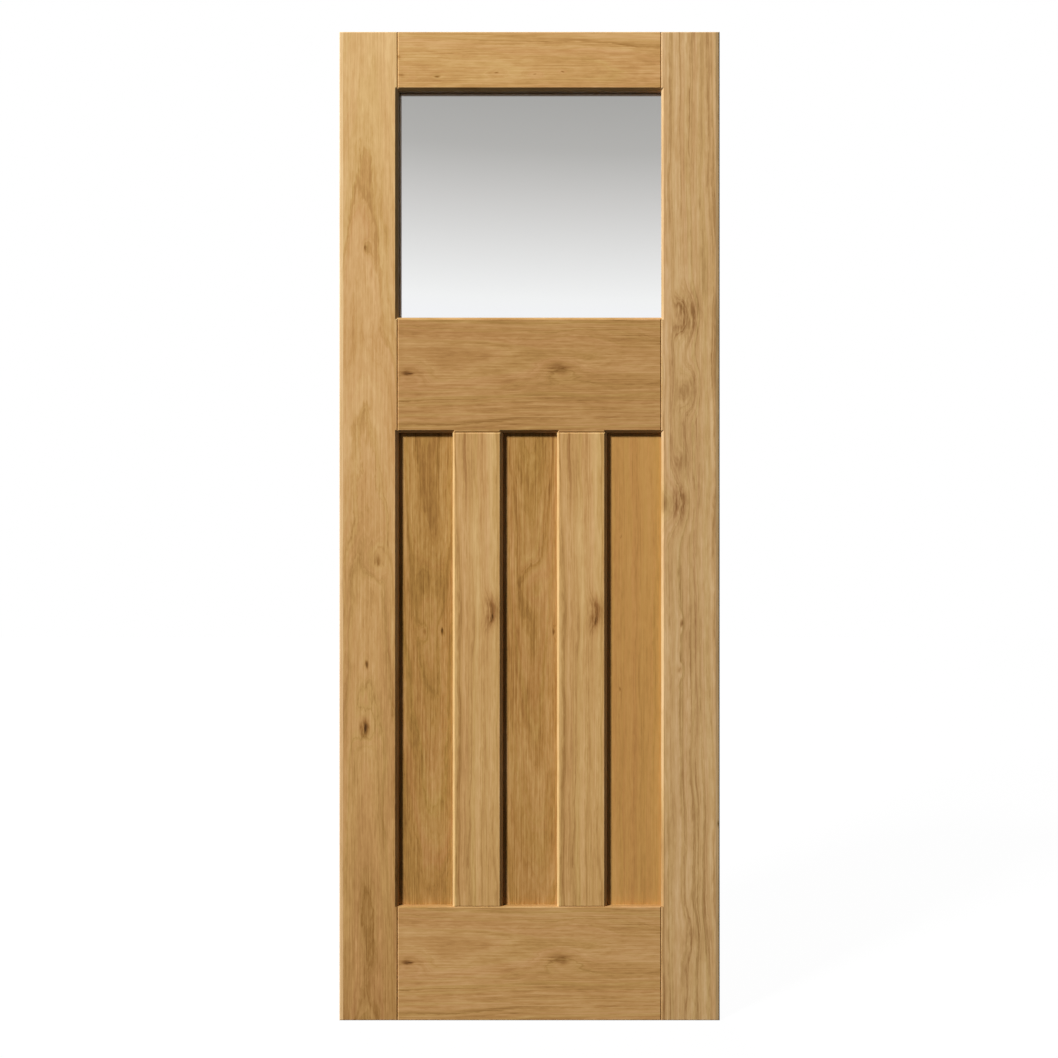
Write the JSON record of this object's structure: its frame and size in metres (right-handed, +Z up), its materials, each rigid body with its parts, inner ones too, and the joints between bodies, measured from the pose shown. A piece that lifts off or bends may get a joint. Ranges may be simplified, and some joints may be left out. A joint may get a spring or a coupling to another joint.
{
  "type": "glazed interior door",
  "caption": "Oak interior door leaf with tenoned stiles and rails, flat recessed panels below a lock rail and a clear glazed light above, held by mitred beads.",
  "frame": {"origin": "foot of the hinge edge, half way through the leaf's thickness, on the outer face of the left lipping", "axes": "+X across the width from the hinge edge to the lock edge, +Y from the front face to the back face with the glazing beads, +Z up"},
  "size_m": [0.762, 0.035, 1.981],
  "materials": {
    "oak_stile": "satin",
    "oak_lipping": "satin",
    "oak_rail": "satin",
    "oak_mullion": "satin",
    "oak_panel": "satin",
    "oak_bead": "satin",
    "clear_glass": "gloss",
    "glazing_tape": "matte"
  },
  "bodies": {
    "root": {"left_stile": "oak_stile", "right_stile": "oak_stile", "left_lipping": "oak_lipping", "right_lipping": "oak_lipping", "top_rail": "oak_rail", "lock_rail": "oak_rail", "bottom_rail": "oak_rail", "left_mullion": "oak_mullion", "right_mullion": "oak_mullion", "left_panel": "oak_panel", "middle_panel": "oak_panel", "right_panel": "oak_panel", "glass_pane": "clear_glass", "front_glazing_seal": "glazing_tape", "rear_glazing_seal": "glazing_tape", "glazing_bead_top": "oak_bead", "glazing_bead_bottom": "oak_bead", "glazing_bead_left": "oak_bead", "glazing_bead_right": "oak_bead"}
  },
  "joints": []
}
